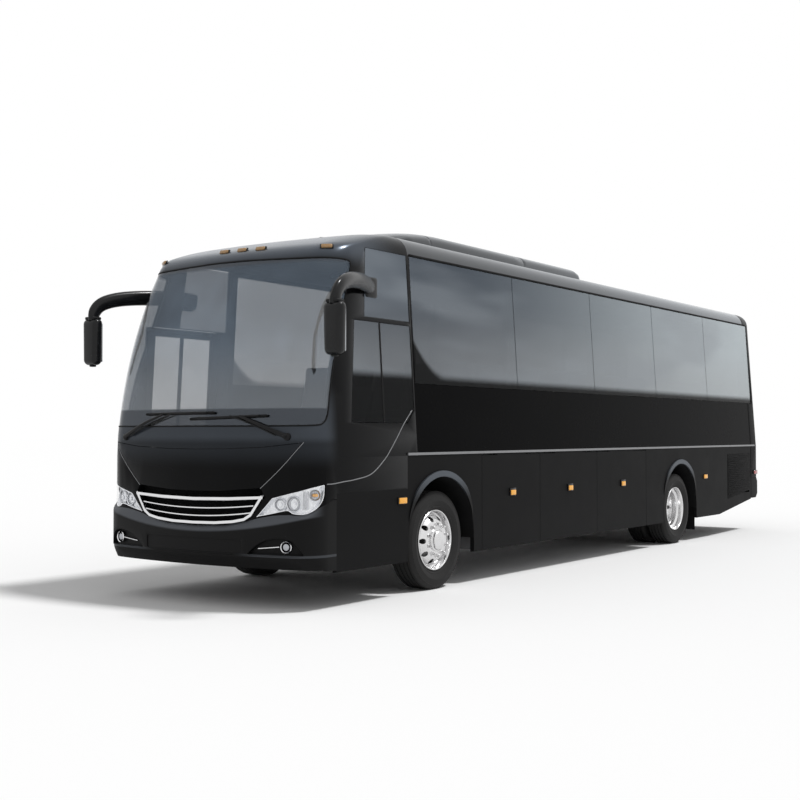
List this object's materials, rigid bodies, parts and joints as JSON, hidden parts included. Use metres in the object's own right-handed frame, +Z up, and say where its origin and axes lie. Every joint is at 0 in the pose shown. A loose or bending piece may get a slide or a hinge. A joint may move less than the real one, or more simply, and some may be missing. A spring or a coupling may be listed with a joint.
{
  "type": "single-deck coach bus",
  "caption": "Full-size single-deck touring coach with raked curved windshield, flush tinted side glazing, underfloor luggage doors, twin rear wheels, roof air unit and arm mirrors.",
  "frame": {"origin": "on the road, midway along the length and width", "axes": "+X to the left side of the coach, +Y to the rear, +Z up"},
  "size_m": [3.1322, 11.7, 3.63],
  "materials": {
    "body_paint": "gloss black",
    "skirt_paint": "satin black",
    "glass": "tinted",
    "lens": "clear",
    "tail_lens": "gloss",
    "amber_lens": "gloss",
    "chrome": "polished",
    "alloy": "polished",
    "tyre": "matte",
    "rubber": "matte",
    "frame_paint": "satin",
    "tow_paint": "satin",
    "cast_metal": "matte",
    "floor_cover": "matte",
    "bay_panel": "matte",
    "seat_cloth": "woven",
    "trim_plastic": "matte"
  },
  "bodies": {
    "body": {"roof": "body_paint", "side_walls": "body_paint", "windows": "glass", "front_mask": "body_paint", "windshield": "glass", "front_lamps": "lens", "grille": "chrome", "front_flap": "body_paint", "front_bumper": "skirt_paint", "rear_panel": "body_paint", "tail_lamps": "tail_lens", "rear_bumper": "skirt_paint", "skirt_panels": "skirt_paint", "arch_flares": "trim_plastic", "belt_strips": "chrome", "marker_lamps": "amber_lens", "roof_aircon": "skirt_paint", "mirrors": "trim_plastic", "wipers": "trim_plastic", "cabin_floor": "floor_cover", "luggage_bay": "bay_panel", "chassis_frame": "frame_paint", "tow_eyes": "tow_paint", "engine": "cast_metal", "front_axle": "cast_metal", "rear_axle": "cast_metal", "air_springs": "rubber", "mud_flaps": "rubber", "seats": "seat_cloth", "seat_frames": "frame_paint", "dashboard": "trim_plastic"},
    "knuckle_left": {"knuckle_left": "cast_metal"},
    "knuckle_right": {"knuckle_right": "cast_metal"},
    "wheel_front_left": {"rim_front_left": "alloy", "tyre_front_left": "tyre"},
    "wheel_front_right": {"rim_front_right": "alloy", "tyre_front_right": "tyre"},
    "wheels_rear_left": {"rims_rear_left": "alloy", "tyres_rear_left": "tyre"},
    "wheels_rear_right": {"rims_rear_right": "alloy", "tyres_rear_right": "tyre"},
    "entry_door": {"entry_door": "body_paint", "entry_glass": "glass"},
    "engine_hatch": {"engine_hatch": "body_paint"},
    "luggage_door_left_1": {"luggage_door_left_1": "skirt_paint"},
    "luggage_door_left_2": {"luggage_door_left_2": "skirt_paint"},
    "luggage_door_left_3": {"luggage_door_left_3": "skirt_paint"},
    "luggage_door_right_1": {"luggage_door_right_1": "skirt_paint"},
    "luggage_door_right_2": {"luggage_door_right_2": "skirt_paint"},
    "luggage_door_right_3": {"luggage_door_right_3": "skirt_paint"}
  },
  "joints": [
    {"name": "steer_left", "type": "hinge", "parent": "body", "child": "knuckle_left", "pos_m": [0.912, -3.66, 0.479], "axis": [0, 0, 1], "range_deg": [-38, 38]},
    {"name": "spin_front_left", "type": "hinge", "parent": "knuckle_left", "child": "wheel_front_left", "pos_m": [1.062, -3.66, 0.479], "axis": [1, 0, 0], "continuous": true},
    {"name": "spin_rear_left", "type": "hinge", "parent": "body", "child": "wheels_rear_left", "pos_m": [0.906, 2.484, 0.479], "axis": [1, 0, 0], "continuous": true},
    {"name": "steer_right", "type": "hinge", "parent": "body", "child": "knuckle_right", "pos_m": [-0.912, -3.66, 0.479], "axis": [0, 0, 1], "range_deg": [-38, 38]},
    {"name": "spin_front_right", "type": "hinge", "parent": "knuckle_right", "child": "wheel_front_right", "pos_m": [-1.062, -3.66, 0.479], "axis": [1, 0, 0], "continuous": true},
    {"name": "spin_rear_right", "type": "hinge", "parent": "body", "child": "wheels_rear_right", "pos_m": [-0.906, 2.484, 0.479], "axis": [1, 0, 0], "continuous": true},
    {"name": "luggage_left_1", "type": "hinge", "parent": "body", "child": "luggage_door_left_1", "pos_m": [1.25, -2.2605, 1.305], "axis": [0, -1, 0], "range_deg": [0, 85]},
    {"name": "luggage_left_2", "type": "hinge", "parent": "body", "child": "luggage_door_left_2", "pos_m": [1.25, -0.898, 1.305], "axis": [0, -1, 0], "range_deg": [0, 85]},
    {"name": "luggage_left_3", "type": "hinge", "parent": "body", "child": "luggage_door_left_3", "pos_m": [1.25, 0.5695, 1.305], "axis": [0, -1, 0], "range_deg": [0, 85]},
    {"name": "luggage_right_1", "type": "hinge", "parent": "body", "child": "luggage_door_right_1", "pos_m": [-1.25, -2.2605, 1.305], "axis": [0, 1, 0], "range_deg": [0, 85]},
    {"name": "luggage_right_2", "type": "hinge", "parent": "body", "child": "luggage_door_right_2", "pos_m": [-1.25, -0.898, 1.305], "axis": [0, 1, 0], "range_deg": [0, 85]},
    {"name": "luggage_right_3", "type": "hinge", "parent": "body", "child": "luggage_door_right_3", "pos_m": [-1.25, 0.5695, 1.305], "axis": [0, 1, 0], "range_deg": [0, 85]},
    {"name": "entry_door_hinge", "type": "hinge", "parent": "body", "child": "entry_door", "pos_m": [-1.25, -5.264, 1.2], "axis": [0, 0, 1], "range_deg": [0, 88]},
    {"name": "engine_hatch_hinge", "type": "hinge", "parent": "body", "child": "engine_hatch", "pos_m": [0, 5.79013, 1.781], "axis": [1, 0, 0], "range_deg": [0, 80]}
  ],
  "couplings": [
    {"joint": "steer_right", "follows": "steer_left", "ratio": 1}
  ]
}
